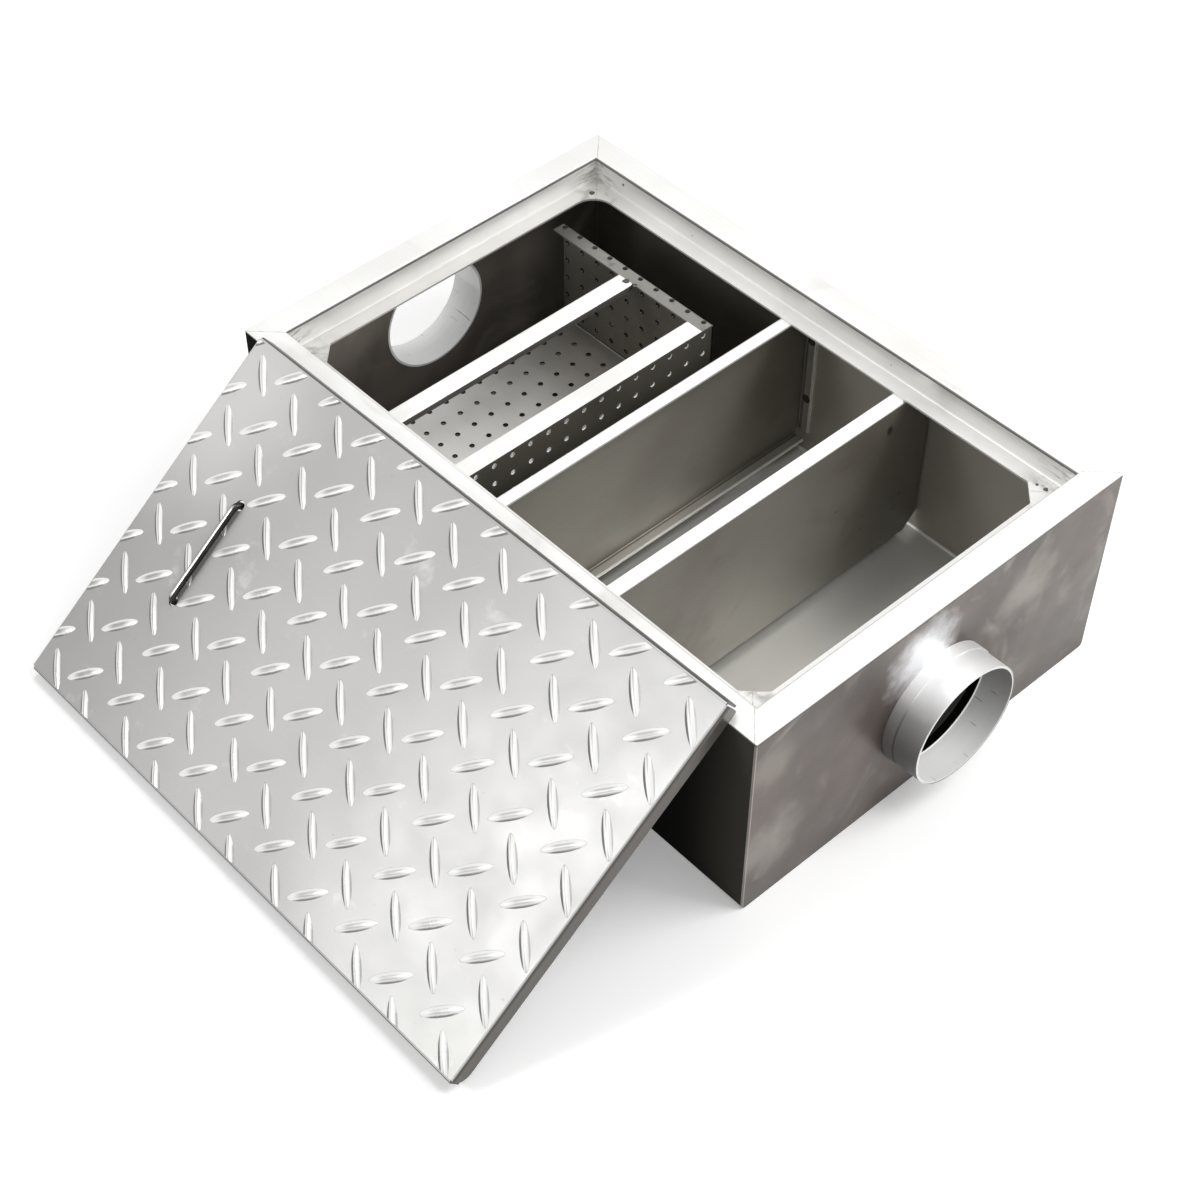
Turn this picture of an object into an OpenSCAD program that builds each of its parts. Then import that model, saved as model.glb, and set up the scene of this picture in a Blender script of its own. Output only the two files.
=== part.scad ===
// Grease trap: a welded sheet-metal tank with a recessed top frame, two folded
// baffles, a perforated basket, a pipe stub at each end and a loose tread-plate
// lid that leans on the front of the tank with its foot on the ground.
// +X runs with the flow from inlet to outlet, +Z is up, and the origin lies at
// the middle of the tank's underside.

/* [Tank] */
// Length of the tank along the flow, outside
tank_l = 600; // [500:10:900]
// Width of the tank, outside
tank_w = 400; // [360:10:600]
// Height of the tank from its underside to the top of the frame
tank_h = 200; // [190:5:260]
// Thickness of the tank, frame and baffle sheet
sheet_t = 2; // [1:0.5:3]
// Inside radius of the folds between floor and long walls
tank_fold_r = 2; // [1:0.5:5]

/* [Top frame] */
// Width of the flat flange round the top
flange_w = 25; // [20:1:35]
// Depth of the lid recess down to the ledge
recess_h = 23; // [18:1:28]
// Width of the ledge that carries the closed lid
ledge_w = 15; // [10:1:20]
// Inside radius of the frame's folds
frame_fold_r = 1; // [0.5:0.5:2]
// Leg of the chamfer across three corners of the opening
corner_cut = 17; // [8:1:25]
// Radius of the one rounded corner of the opening
corner_r = 21; // [10:1:30]

/* [Pipe stubs] */
// Outside diameter of both pipe stubs
pipe_d = 110; // [75:5:110]
// Wall thickness of the pipe stubs
pipe_t = 2; // [1:0.5:3]
// Length of a stub outside the end wall
pipe_out = 34; // [25:1:60]
// Height of the inlet's axis above the underside
inlet_z = 104; // [90:1:110]
// Height of the outlet's axis above the underside
outlet_z = 88; // [70:1:100]
// Length of the welded collar at the root of a stub
collar_l = 10; // [5:1:15]
// Radial thickness of the collar
collar_t = 0.8; // [0.5:0.1:5]

/* [Baffles] */
// Distance of the first baffle's plate from the inlet end
baffle_1_x = 272; // [265:1:290]
// Distance of the second baffle's plate from the inlet end
baffle_2_x = 414.5; // [380:0.5:440]
// Width of the baffles' folded edges
baffle_edge = 13; // [8:1:20]
// Height of the first baffle's underflow gap above the underside
baffle_1_gap = 20; // [10:1:40]
// Height of the second baffle's lower edge above the underside
baffle_2_gap = 8; // [6:1:30]
// Corner cut of the first baffle
baffle_1_cut = 7; // [5:1:15]
// Corner cut of the second baffle
baffle_2_cut = 15; // [5:1:25]
// Inside radius of the baffles' folds
baffle_fold_r = 1; // [0.5:0.5:2]
// Diameter of the plug welds that hold the first baffle
plug_d = 9; // [6:1:10]
// Depth of the upper plug welds below the top of the tank
plug_drop_high = 68; // [60:1:80]
// Depth of the lower plug welds below the top of the tank
plug_drop_low = 135; // [120:1:145]

/* [Basket] */
// Length of the basket along the flow
basket_l = 188; // [150:1:200]
// Width of the basket across the tank
basket_w = 310; // [280:1:315]
// Depth of the basket from its rim to its underside
basket_h = 109; // [80:1:115]
// Thickness of the perforated sheet
basket_t = 1.5; // [1:0.5:2]
// Inside radius of the basket's folds
basket_fold_r = 1; // [0.5:0.5:2]
// Width of the rims folded inwards at front and back
basket_rim = 13.5; // [12:0.5:18]
// Width of the plain rim strip on the outlet side
rim_strip_w = 17.5; // [12:0.5:25]
// Gap between the inlet wall and the basket
basket_from_inlet = 52; // [45:1:60]
// Gap between the front wall's inside and the basket
basket_from_front = 1; // [0.5:0.5:20]
// Diameter of the perforations
hole_d = 5; // [3:0.5:6]
// Distance between the middles of neighbouring perforations
hole_pitch = 19.5; // [15:0.5:30]
// Width of the carrying bar across the basket
bar_w = 18.5; // [12:0.5:25]
// Depth of the carrying bar's folded edges
bar_h = 7; // [5:1:12]
// Distance of the carrying bar from the basket's inlet end
bar_from_end = 84; // [60:1:110]
// Leg of the angle rails under the basket
rail_leg = 20; // [15:1:30]
// Distance of each rail from the basket's end
rail_inset = 20; // [5:1:35]

/* [Lid] */
// Length of the lid
lid_l = 543; // [400:1:546]
// Width of the lid
lid_w = 339; // [300:1:346]
// Height of the lid over its folded edges
lid_h = 15; // [12:1:20]
// Thickness of the lid's tread plate, without the bars
lid_t = 2; // [1.5:0.5:3]
// Inside radius of the lid's folds
lid_fold_r = 1; // [0.5:0.5:2]
// Length of the leaning lid above the tank's front edge
lid_over = 9.5; // [8:0.5:20]
// Offset of the leaning lid's middle towards the outlet
lid_offset = 0.9; // [0:0.1:10]
// Turn of the leaning lid in its own plane, degrees
lid_turn = 0.7; // [0:0.1:0.7]
// Radius of the side edges' corners at the lid's upper edge
lid_head_r = 3; // [1:0.5:3]
// Radius of the side edges' corners at the lid's lower edge
lid_foot_r = 10; // [4:1:11]

/* [Tread pattern] */
// Length of a raised bar at its foot
tread_l = 38; // [25:0.5:40]
// Width of a raised bar at its foot
tread_w = 9; // [6:0.5:12]
// Height of a raised bar at its middle
tread_h = 1.6; // [0.8:0.1:2]
// Distance between neighbouring bars of one direction
tread_pitch = 49.9; // [45:0.1:60]
// Plain border that the pattern leaves along the lid's edges
tread_border = 3; // [3:0.5:10]
// Turn of the pattern on the lid, degrees
tread_turn = -0.35; // [-1:0.05:1]

/* [Handle] */
// Diameter of the handle's rod
rod_d = 6; // [5:0.5:8]
// Distance between the middles of the handle's legs
handle_w = 95.5; // [80:0.5:120]
// Distance from the lid's middle to the handle
handle_from_mid = 186.3; // [150:0.1:220]
// Distance of the handle's middle above the middle of the lid's width
handle_rise = 2.5; // [0:0.5:10]
// Diameter of the two holes in the lid
handle_hole_d = 9; // [8:0.5:12]
// Height by which the handle can be drawn up
handle_travel = 30; // [20:1:40]
// Radius of the handle's bends at the middle of the rod
handle_bend_r = 6; // [5:0.5:7]
// Outside diameter of the stop washers
stop_d = 16; // [14:0.5:22]
// Thickness of the stop washers
stop_t = 2.5; // [1.5:0.5:4]

/* [Hidden] */
$fn = 64;

// Overrun of every cut, and the small play round what is pushed through a hole
cut = 1;
play = 0.1;

// Heights: underside of the frame's flange, top and underside of the ledge
wall_top = tank_h - sheet_t;
ledge_top = tank_h - recess_h;
ledge_under = ledge_top - sheet_t;

// Clear width and length between the walls
clear_w = tank_w - 2 * sheet_t;
opening_in = flange_w + ledge_w;

// Places of the basket's four sides
basket_x0 = basket_from_inlet - tank_l / 2;
basket_x1 = basket_x0 + basket_l;
basket_y0 = basket_from_front - clear_w / 2;
basket_y1 = basket_y0 + basket_w;
basket_top = ledge_under - play;
basket_z0 = basket_top - basket_h;

// First row of perforations from the edge of each panel
wall_hole_from_end = 5;
wall_hole_from_rim = 19;
floor_hole_from_end = 15.5;
floor_hole_from_side = 16;
end_hole_from_rim = 6;
end_hole_from_side = 6;
rim_hole_from_side = 4;
hole_margin = 5;

// The lid's side edges lie on the tank's front edge, and one end of its lower lip
// stands on the ground
lid_bend = lid_fold_r + lid_t;
lid_reach = (lid_l / 2 - lid_bend) * sin(lid_turn) + (lid_w - lid_over) * cos(lid_turn);
lid_tilt = asin(tank_h / lid_reach);

// First bars of the two directions: distance from the lid's middle, and distances
// from its upper edge in even and odd columns
tread_down_u = 4.4;
tread_down_v = [35.2, 26.4];
tread_up_u = 31.9;
tread_up_v = [3.5, 12.3];

// The handle's rod lies on the bars
rod_z = lid_h + tread_h + rod_d / 2;
stop_z = lid_h - lid_t - handle_travel - stop_t - play;
leg_below_stop = 3;
handle_y = handle_rise - lid_w / 2;
handle_leg_y = [handle_y - handle_w / 2, handle_y + handle_w / 2];

// Quarter of a round fold in the first quadrant
module fold_quarter(r, t) {
    intersection() {
        difference() {
            circle(r + t);
            circle(r);
        }
        square(r + t);
    }
}

// Sheet with all four edges folded down: flat face on z = 0, corners notched by c
module folded_pan(w, h, depth, t, r, c) {
    bend = r + t;
    flat_cut = max(c - bend, 0);
    x = w / 2 - bend;
    y = h / 2 - bend;
    translate([0, 0, -t])
        linear_extrude(t)
            polygon([
                [x, y - flat_cut], [x - flat_cut, y], [flat_cut - x, y], [-x, y - flat_cut],
                [-x, flat_cut - y], [flat_cut - x, -y], [x - flat_cut, -y], [x, flat_cut - y]
            ]);
    for (side = [0, 1]) {
        rotate([0, 0, 180 * side])
            folded_edge(w / 2, h - 2 * c, depth, t, r);
        rotate([0, 0, 180 * side + 90])
            folded_edge(h / 2, w - 2 * c, depth, t, r);
    }
}

// One folded edge with its outer face at the given reach along x
module folded_edge(reach, length, depth, t, r) {
    bend = r + t;
    rotate([90, 0, 0])
        linear_extrude(length, center = true) {
            translate([reach - bend, -bend])
                fold_quarter(r, t);
            translate([reach - t, -depth])
                square([t, depth - bend]);
        }
}

// U-shaped section of the tank: front wall, floor and back wall from one sheet
module shell_section() {
    bend = tank_fold_r + sheet_t;
    translate([bend - tank_w / 2, 0])
        square([tank_w - 2 * bend, sheet_t]);
    for (side = [0, 1])
        mirror([side, 0]) {
            translate([bend - tank_w / 2, bend])
                rotate(180)
                    fold_quarter(tank_fold_r, sheet_t);
            translate([-tank_w / 2, bend])
                square([sheet_t, wall_top - bend]);
        }
}

module tank_shell() {
    color("#6f6860")
        rotate([90, 0, 90])
            linear_extrude(tank_l - 2 * sheet_t, center = true)
                shell_section();
}

// End plate that closes the U, drawn standing on y = 0 with the pipe's hole
module end_plate(pipe_z) {
    bend = tank_fold_r + sheet_t;
    linear_extrude(sheet_t)
        difference() {
            union() {
                translate([-tank_w / 2, bend])
                    square([tank_w, wall_top - bend]);
                translate([bend - tank_w / 2, 0])
                    square([tank_w - 2 * bend, bend]);
                for (side = [-1, 1])
                    translate([side * (tank_w / 2 - bend), bend])
                        circle(bend);
            }
            translate([0, pipe_z])
                circle(pipe_d / 2 + play);
        }
}

module inlet_end_wall() {
    color("#6b645c")
        translate([-tank_l / 2, 0, 0])
            rotate([90, 0, 90])
                end_plate(inlet_z);
}

module outlet_end_wall() {
    color("#8a8179")
        translate([tank_l / 2 - sheet_t, 0, 0])
            rotate([90, 0, 90])
                end_plate(outlet_z);
}

// Section of the frame: flange, recess wall and ledge, from the outer face inwards
module frame_section() {
    bend = frame_fold_r + sheet_t;
    translate([0, -sheet_t])
        square([flange_w - bend, sheet_t]);
    translate([flange_w - bend, -bend])
        fold_quarter(frame_fold_r, sheet_t);
    translate([flange_w - sheet_t, frame_fold_r - recess_h])
        square([sheet_t, recess_h - frame_fold_r - bend]);
    translate([flange_w + frame_fold_r, frame_fold_r - recess_h])
        rotate(180)
            fold_quarter(frame_fold_r, sheet_t);
    translate([flange_w + frame_fold_r, -recess_h - sheet_t])
        square([ledge_w - frame_fold_r, sheet_t]);
}

// Web that closes one corner of the opening, cut straight or rounded
module corner_web(is_round) {
    leg = is_round ? corner_r : corner_cut;
    difference() {
        translate([-leg, -ledge_w / 2])
            square([leg + ledge_w / 2, leg + ledge_w / 2]);
        if (is_round)
            translate([-corner_r, corner_r])
                circle(corner_r);
        else
            polygon([[-leg, 0], [-leg - cut, 0], [-leg - cut, leg + cut], [0, leg + cut], [0, leg]]);
    }
}

// One mitred frame member along x, its outer face at y = -reach
module frame_member(length, reach, round_end) {
    mitre = opening_in + max(corner_cut, corner_r);
    translate([0, -reach, 0])
        intersection() {
            union() {
                translate([0, 0, tank_h])
                    rotate([90, 0, 90])
                        linear_extrude(length, center = true)
                            frame_section();
                translate([0, 0, ledge_under])
                    linear_extrude(sheet_t)
                        for (side = [-1, 1])
                            mirror([(1 - side) / 2, 0])
                                translate([length / 2 - opening_in, opening_in])
                                    corner_web(side == round_end);
            }
            translate([0, 0, ledge_under - cut])
                linear_extrude(tank_h - ledge_under + 2 * cut)
                    polygon([
                        [-length / 2, 0], [length / 2, 0],
                        [length / 2 - mitre, mitre], [mitre - length / 2, mitre]
                    ]);
        }
}

module front_frame() {
    color("#f2f2f0")
        frame_member(tank_l, tank_w / 2, 0);
}

module back_frame() {
    color("#e9e9e6")
        rotate([0, 0, 180])
            frame_member(tank_l, tank_w / 2, 1);
}

module inlet_frame() {
    color("#e9e9e6")
        rotate([0, 0, 270])
            frame_member(tank_w, tank_l / 2, -1);
}

module outlet_frame() {
    color("#f2f2f0")
        rotate([0, 0, 90])
            frame_member(tank_w, tank_l / 2, 0);
}

// Pipe stub along +x, flush with the inside of the end wall
module pipe_stub() {
    rotate([0, 90, 0])
        difference() {
            cylinder(h = sheet_t + pipe_out, d = pipe_d);
            translate([0, 0, -cut])
                cylinder(h = sheet_t + pipe_out + 2 * cut, d = pipe_d - 2 * pipe_t);
        }
}

// Collar welded round the root of a stub
module pipe_collar() {
    rotate([0, 90, 0])
        difference() {
            cylinder(h = collar_l, d = pipe_d + 2 * collar_t);
            translate([0, 0, -cut])
                cylinder(h = collar_l + 2 * cut, d = pipe_d + 2 * play);
        }
}

module inlet_pipe() {
    color("#b9b6b1")
        translate([sheet_t - tank_l / 2, 0, inlet_z])
            mirror([1, 0, 0])
                pipe_stub();
}

module inlet_collar() {
    color("#a19c95")
        translate([-tank_l / 2, 0, inlet_z])
            mirror([1, 0, 0])
                pipe_collar();
}

module outlet_pipe() {
    color("#b9b6b1")
        translate([tank_l / 2 - sheet_t, 0, outlet_z])
            pipe_stub();
}

module outlet_collar() {
    color("#a19c95")
        translate([tank_l / 2, 0, outlet_z])
            pipe_collar();
}

// Cylinders at the plug welds, across the whole tank
module at_plug_welds(length, d) {
    for (drop = [plug_drop_high, plug_drop_low])
        translate([baffle_1_x - tank_l / 2 + (baffle_edge + sheet_t) / 2, 0, tank_h - drop])
            rotate([90, 0, 0])
                cylinder(h = length, d = d, center = true);
}

module first_baffle() {
    h = ledge_under - baffle_1_gap;
    color("#56524b")
        difference() {
            translate([baffle_1_x - tank_l / 2, 0, baffle_1_gap + h / 2])
                rotate([90, 0, -90])
                    folded_pan(clear_w, h, baffle_edge, sheet_t, baffle_fold_r, baffle_1_cut);
            at_plug_welds(tank_w, plug_d);
        }
}

// Plug welds fill the holes in the baffle's two side edges
module first_baffle_welds() {
    color("#2a2724")
        difference() {
            at_plug_welds(clear_w, plug_d - 2 * play);
            cube([tank_l, clear_w - 2 * sheet_t, 2 * tank_h], center = true);
        }
}

module second_baffle() {
    h = ledge_under - baffle_2_gap;
    color("#4b4843")
        translate([baffle_2_x - tank_l / 2, 0, baffle_2_gap + h / 2])
            rotate([90, 0, 90])
                folded_pan(clear_w, h, baffle_edge, sheet_t, baffle_fold_r, baffle_2_cut);
}

// Floor and lower fold of one half of the basket, in (y, z) from the middle
module basket_floor_section() {
    bend = basket_fold_r + basket_t;
    square([basket_w / 2 - bend, basket_t]);
    translate([basket_w / 2 - bend, bend])
        rotate(270)
            fold_quarter(basket_fold_r, basket_t);
}

// Long wall of one half of the basket with its rim folded inwards
module basket_wall_section() {
    bend = basket_fold_r + basket_t;
    translate([basket_w / 2 - basket_t, bend])
        square([basket_t, basket_h - 2 * bend]);
    translate([basket_w / 2 - bend, basket_h - bend])
        fold_quarter(basket_fold_r, basket_t);
    translate([basket_w / 2 - basket_rim, basket_h - basket_t])
        square([basket_rim - bend, basket_t]);
}

// Outlet wall with its fold to the floor, from the outer face inwards
module basket_end_section() {
    bend = basket_fold_r + basket_t;
    translate([bend, bend])
        rotate(180)
            fold_quarter(basket_fold_r, basket_t);
    translate([0, bend])
        square([basket_t, basket_h - bend - basket_t]);
}

// Last index of the perforations between a first place and an end
function last_hole(first, end) = floor((end - hole_margin - first) / hole_pitch);

module floor_perforations() {
    for (i = [0 : last_hole(floor_hole_from_end, basket_l)])
        for (j = [0 : last_hole(floor_hole_from_side, basket_w)])
            translate([
                basket_x0 + floor_hole_from_end + i * hole_pitch,
                basket_y0 + floor_hole_from_side + j * hole_pitch,
                basket_z0 - cut
            ])
                cylinder(h = basket_t + 2 * cut, d = hole_d, $fn = 24);
}

// Rows through both long walls, and one row along the back rim
module long_wall_perforations() {
    for (i = [0 : last_hole(wall_hole_from_end, basket_l)]) {
        x = basket_x0 + wall_hole_from_end + i * hole_pitch;
        for (k = [0 : last_hole(wall_hole_from_rim, basket_h)])
            translate([x, basket_y0 - cut, basket_top - wall_hole_from_rim - k * hole_pitch])
                rotate([-90, 0, 0])
                    cylinder(h = basket_w + 2 * cut, d = hole_d, $fn = 24);
        translate([x, basket_y1 - rim_hole_from_side, basket_top - basket_t - cut])
            cylinder(h = basket_t + 2 * cut, d = hole_d, $fn = 24);
    }
}

module end_wall_perforations() {
    for (j = [0 : last_hole(end_hole_from_side, basket_w)])
        for (k = [0 : last_hole(end_hole_from_rim, basket_h)])
            translate([
                basket_x1 - basket_t - cut,
                basket_y0 + end_hole_from_side + j * hole_pitch,
                basket_top - end_hole_from_rim - k * hole_pitch
            ])
                rotate([0, 90, 0])
                    cylinder(h = basket_t + 2 * cut, d = hole_d, $fn = 24);
}

// Basket of one perforated sheet: floor and three walls, open towards the inlet
module basket() {
    bend = basket_fold_r + basket_t;
    color("#8c857c")
        difference() {
            union() {
                translate([basket_x0, (basket_y0 + basket_y1) / 2, basket_z0])
                    rotate([90, 0, 90])
                        for (side = [0, 1])
                            mirror([side, 0, 0]) {
                                linear_extrude(basket_l - bend)
                                    basket_floor_section();
                                linear_extrude(basket_l)
                                    basket_wall_section();
                            }
                translate([basket_x1, basket_y1, basket_z0])
                    mirror([1, 0, 0])
                        rotate([90, 0, 0])
                            linear_extrude(basket_w)
                                basket_end_section();
            }
            floor_perforations();
            long_wall_perforations();
            end_wall_perforations();
        }
}

// Plain strip welded on the outlet wall's top edge, between the two folded rims
module basket_outlet_rim() {
    color("#f4f4f2")
        translate([basket_x1 - rim_strip_w, basket_y0 + basket_rim, basket_top - basket_t])
            cube([rim_strip_w, basket_w - 2 * basket_rim, basket_t]);
}

// Channel-shaped bar between the rims, by which the basket is lifted out
module carry_bar() {
    bend = basket_fold_r + basket_t;
    color("#f4f4f2")
        translate([basket_x0 + bar_from_end + bar_w / 2, basket_y1 - basket_rim, basket_top])
            rotate([90, 0, 0])
                linear_extrude(basket_w - 2 * basket_rim) {
                    translate([bend - bar_w / 2, -basket_t])
                        square([bar_w - 2 * bend, basket_t]);
                    for (side = [0, 1])
                        mirror([side, 0]) {
                            translate([bar_w / 2 - bend, -bend])
                                fold_quarter(basket_fold_r, basket_t);
                            translate([bar_w / 2 - basket_t, -bar_h])
                                square([basket_t, bar_h - bend]);
                        }
                }
}

// Folded angle from wall to wall, its flat leg under the basket's floor
module basket_rail(x) {
    bend = basket_fold_r + sheet_t;
    translate([x, clear_w / 2, basket_z0])
        rotate([90, 0, 0])
            linear_extrude(clear_w) {
                translate([bend, -sheet_t])
                    square([rail_leg - bend, sheet_t]);
                translate([bend, -bend])
                    rotate(90)
                        fold_quarter(basket_fold_r, sheet_t);
                translate([0, -rail_leg])
                    square([sheet_t, rail_leg - bend]);
            }
}

module inlet_side_rail() {
    color("#6f6860")
        basket_rail(basket_x0 + rail_inset);
}

module outlet_side_rail() {
    color("#6f6860")
        basket_rail(basket_x1 - rail_inset - rail_leg);
}

// Lays what is drawn in the flat lid's frame where the lid leans on the tank
module leaning() {
    translate([lid_offset, -tank_w / 2, tank_h])
        rotate([lid_tilt, 0, 0])
            rotate([0, 0, lid_turn])
                translate([0, lid_over, 0])
                    children();
}

// Raised bar along x: the crown of a slim spindle whose axis lies under the plate,
// so that its sides slope and its ends are round
module tread_bar() {
    axis_depth = (tread_w * tread_w / 4 - tread_h * tread_h) / (2 * tread_h);
    spindle_r = axis_depth + tread_h;
    side_r = (tread_l * tread_l / 4 + tread_h * tread_h) / (2 * tread_h);
    intersection() {
        translate([0, 0, -axis_depth])
            rotate([0, 90, 0])
                rotate_extrude($fn = 36)
                    intersection() {
                        translate([spindle_r - side_r, 0])
                            circle(side_r, $fn = 108);
                        translate([0, -(tread_l + lid_t) / 2])
                            square([spindle_r, tread_l + lid_t]);
                    }
        translate([-tread_l, -tread_w, -lid_t / 2])
            cube([2 * tread_l, 2 * tread_w, lid_t + tread_h]);
    }
}

// Columns of bars turned by one angle; even and odd columns start at their own height
module tread_columns(u, v, turn) {
    first = ceil((-lid_l / 2 - u) / tread_pitch);
    last = floor((lid_l / 2 - u) / tread_pitch);
    reach = tread_l * sin(abs(turn)) / 2 + lid_l * sin(abs(tread_turn)) / 2;
    for (i = [first : last]) {
        start = v[abs(i) % 2];
        for (j = [0 : floor((lid_w + reach - start) / tread_pitch)])
            translate([u + i * tread_pitch, -start - j * tread_pitch, 0])
                rotate([0, 0, turn])
                    tread_bar();
    }
}

// Two crossing directions of bars, ended short of the lid's folds
module tread_pattern() {
    border = max(tread_border, lid_bend);
    intersection() {
        translate([0, -lid_w / 2, 0])
            rotate([0, 0, tread_turn])
                translate([0, lid_w / 2, 0]) {
                    tread_columns(tread_down_u, tread_down_v, -45);
                    tread_columns(tread_up_u, tread_up_v, 45);
                }
        translate([border - lid_l / 2, border - lid_w, -lid_t])
            cube([lid_l - 2 * border, lid_w - 2 * border, lid_t + tread_h + cut]);
    }
}

// Rounds the free corner of a side edge: the corner at the origin, edge along y
module edge_end_cut(r) {
    translate([-lid_l / 2 - cut, 0, 0])
        rotate([90, 0, 90])
            linear_extrude(lid_l + 2 * cut)
                difference() {
                    translate([-cut, -cut])
                        square(r + cut);
                    translate([r, r])
                        circle(r);
                }
}

// Tread-plate pan with folded edges, its upper edge on y = 0 and its lips on z = 0
module lid() {
    color("#cfceca")
        leaning()
            difference() {
                union() {
                    difference() {
                        translate([0, -lid_w / 2, lid_h])
                            folded_pan(lid_l, lid_w, lid_h, lid_t, lid_fold_r, lid_bend);
                        intersection() {
                            union() {
                                translate([0, lid_bend - lid_w, 0])
                                    edge_end_cut(lid_foot_r);
                                translate([0, -lid_bend, 0])
                                    mirror([0, 1, 0])
                                        edge_end_cut(lid_head_r);
                            }
                            side_edges();
                        }
                    }
                    translate([0, 0, lid_h])
                        tread_pattern();
                }
                for (y = handle_leg_y)
                    translate([-handle_from_mid, y, 0])
                        cylinder(h = lid_h + tread_h + cut, d = handle_hole_d);
            }
}

// Space of the lid's two side edges, between its long edges
module side_edges() {
    for (side = [-1, 1])
        translate([side * (lid_l - lid_t) / 2, -lid_w / 2, (lid_h - lid_bend) / 2])
            cube([lid_t + cut, lid_w - 2 * lid_bend, lid_h - lid_bend + 2 * cut], center = true);
}

// Drop handle: a rod bent to a U that slides in the lid's two holes
module lid_handle() {
    straight = handle_w - 2 * handle_bend_r;
    leg_end = stop_z - leg_below_stop;
    color("#3c3936")
        leaning()
            translate([-handle_from_mid, handle_y, rod_z]) {
                rotate([90, 0, 0])
                    cylinder(h = straight, d = rod_d, center = true);
                for (side = [0, 1])
                    mirror([0, side, 0]) {
                        translate([0, straight / 2, -handle_bend_r])
                            rotate([90, 0, 90])
                                rotate_extrude(angle = 90)
                                    translate([handle_bend_r, 0])
                                        circle(d = rod_d);
                        translate([0, handle_w / 2, leg_end - rod_z])
                            cylinder(h = rod_z - handle_bend_r - leg_end, d = rod_d);
                    }
            }
}

// Washers welded on the legs, which stop the handle when it is drawn up
module handle_stops() {
    color("#3c3936")
        leaning()
            for (y = handle_leg_y)
                translate([-handle_from_mid, y, stop_z])
                    difference() {
                        cylinder(h = stop_t, d = stop_d);
                        translate([0, 0, -cut])
                            cylinder(h = stop_t + 2 * cut, d = rod_d + 2 * play);
                    }
}

tank_shell();
inlet_end_wall();
outlet_end_wall();
front_frame();
back_frame();
inlet_frame();
outlet_frame();
inlet_pipe();
inlet_collar();
outlet_pipe();
outlet_collar();
first_baffle();
first_baffle_welds();
second_baffle();
basket();
basket_outlet_rim();
carry_bar();
inlet_side_rail();
outlet_side_rail();
lid();
lid_handle();
handle_stops();
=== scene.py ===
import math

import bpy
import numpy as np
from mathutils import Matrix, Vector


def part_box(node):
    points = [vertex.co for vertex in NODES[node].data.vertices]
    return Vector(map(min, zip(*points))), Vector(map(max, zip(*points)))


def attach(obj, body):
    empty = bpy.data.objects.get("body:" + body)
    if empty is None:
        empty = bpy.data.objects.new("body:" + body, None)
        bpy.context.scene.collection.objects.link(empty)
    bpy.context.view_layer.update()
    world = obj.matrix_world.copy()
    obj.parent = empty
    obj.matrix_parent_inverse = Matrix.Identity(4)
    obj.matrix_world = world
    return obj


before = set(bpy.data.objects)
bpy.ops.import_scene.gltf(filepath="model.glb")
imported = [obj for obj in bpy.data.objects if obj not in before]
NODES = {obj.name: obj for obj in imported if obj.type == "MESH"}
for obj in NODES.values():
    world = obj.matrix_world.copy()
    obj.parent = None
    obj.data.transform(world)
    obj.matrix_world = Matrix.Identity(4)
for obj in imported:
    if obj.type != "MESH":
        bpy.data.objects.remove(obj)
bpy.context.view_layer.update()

# Grease trap, open, its tread-plate lid leaning on the front of the tank.
# The CAD nodes keep their shapes. This script gives each of them its finish,
# adds five small weld tacks, and sets up the floor, the light and the camera.
# Lengths are in metres in the CAD's own frame: +X runs from inlet to outlet,
# and the origin lies under the middle of the tank.

MM = 0.001

# Camera: where it stands, how it is turned, and its lens
CAMERA_PLACE = (0.9493, -0.9540, 1.4295)
CAMERA_HEADING = math.radians(51.171)
CAMERA_TILT = math.radians(42.164)
CAMERA_ROLL = math.radians(-2.582)
CAMERA_LENS = 67.47
CAMERA_SENSOR = 36.0
CAMERA_SHIFT = (0.0899, 0.0114)

# Places on the trap that the marks and joints are measured from
TANK_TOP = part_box("front_frame")[1].z
TANK_HALF_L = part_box("tank_shell")[1].x
TANK_HALF_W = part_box("tank_shell")[1].y
LEDGE_TOP = TANK_TOP - 23 * MM
STUB_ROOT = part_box("outlet_pipe")[0].x
STUB_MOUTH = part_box("outlet_pipe")[1].x
COLLAR_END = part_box("outlet_collar")[1].x
PIPE_R = (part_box("outlet_pipe")[1].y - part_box("outlet_pipe")[0].y) / 2
COLLAR_R = (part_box("outlet_collar")[1].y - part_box("outlet_collar")[0].y) / 2
OUTLET_AXIS_Z = (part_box("outlet_pipe")[1].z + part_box("outlet_pipe")[0].z) / 2
FIRST_BAFFLE_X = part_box("first_baffle")[0].x
SECOND_BAFFLE_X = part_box("second_baffle")[0].x
BASKET_LOW, BASKET_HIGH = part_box("basket")
BORE_RIM = 7 * MM

# The leaning lid: its turns, its directions and the middle of its upper edge at the lips.
# LID_HALF is half its side, LID_LENGTH how far the painted light and shade gradient runs down it,
# and LID_FACE the plate's height over the lips. The last two run across the two kinds of bar.
LID_TILT = math.radians(36.9445)
LID_TURN = math.radians(0.7)
LID_POSE = Matrix.Rotation(LID_TILT, 3, "X") @ Matrix.Rotation(LID_TURN, 3, "Z")
LID_ALONG = tuple(LID_POSE @ Vector((1, 0, 0)))
LID_DOWN = tuple(LID_POSE @ Vector((0, -1, 0)))
LID_NORMAL = tuple(LID_POSE @ Vector((0, 0, 1)))
LID_EDGE = (0.9 * MM, -TANK_HALF_W, TANK_TOP)
LID_HALF = 271.5 * MM
LID_LENGTH = 327 * MM
LID_FACE = 15 * MM
UPRIGHT_ACROSS = tuple(LID_POSE @ Vector((1, 1, 0)).normalized())
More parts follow.
